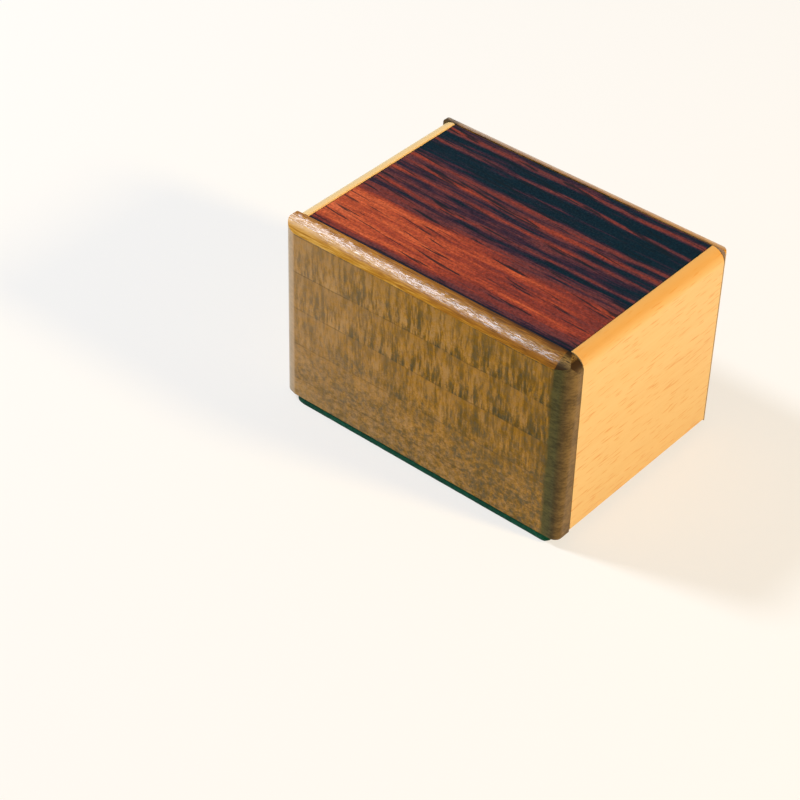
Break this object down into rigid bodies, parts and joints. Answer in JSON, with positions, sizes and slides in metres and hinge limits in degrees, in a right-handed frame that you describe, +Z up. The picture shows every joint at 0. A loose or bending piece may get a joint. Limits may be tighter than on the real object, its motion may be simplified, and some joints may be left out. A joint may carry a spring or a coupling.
{
  "type": "puzzle box",
  "caption": "Small wooden puzzle box whose lid and one end slide out together once the other end is lifted off a hidden catch; felt under the base.",
  "frame": {"origin": "middle of the felt's underside, on the surface that the box stands on", "axes": "+X along the length to the end that slides out with the lid, +Y to the back, +Z up"},
  "size_m": [0.0436, 0.033, 0.027],
  "materials": {
    "rosewood": "striped red-brown rosewood, satin lacquer",
    "beech": "steamed beech with ray flecks, satin lacquer",
    "walnut": "figured walnut, satin lacquer",
    "core_wood": "plain pale lime wood, sanded and unfinished",
    "runner_wood": "close-grained cherry, waxed",
    "felt": "dense dark green felt"
  },
  "bodies": {
    "core": {"bottom_panel": "core_wood", "felt_pad": "felt", "front_panel": "walnut", "back_panel": "walnut", "core_floor": "core_wood", "core_front_wall": "core_wood", "core_back_wall": "core_wood", "core_left_wall": "core_wood", "core_right_wall": "core_wood", "lid_stop_front": "runner_wood", "lid_stop_back": "runner_wood", "left_runner": "runner_wood"},
    "lid": {"lid_panel": "rosewood", "right_end_panel": "beech", "lid_runner_front": "runner_wood", "lid_runner_back": "runner_wood", "lid_cleat": "core_wood", "lid_hook": "runner_wood"},
    "left_end": {"left_end_panel": "beech", "left_guide_front": "runner_wood", "left_guide_back": "runner_wood", "left_guide_stop": "runner_wood", "left_catch": "runner_wood"}
  },
  "joints": [
    {"name": "lid_slide", "type": "slide", "parent": "core", "child": "lid", "axis": [1, 0, 0], "range_m": [0, 0.024]},
    {"name": "left_end_slide", "type": "slide", "parent": "core", "child": "left_end", "axis": [0, 0, 1], "range_m": [0, 0.006]}
  ],
  "couplings": [
    {"joint": "left_end_slide", "follows": "lid_slide", "ratio": 0.25}
  ]
}
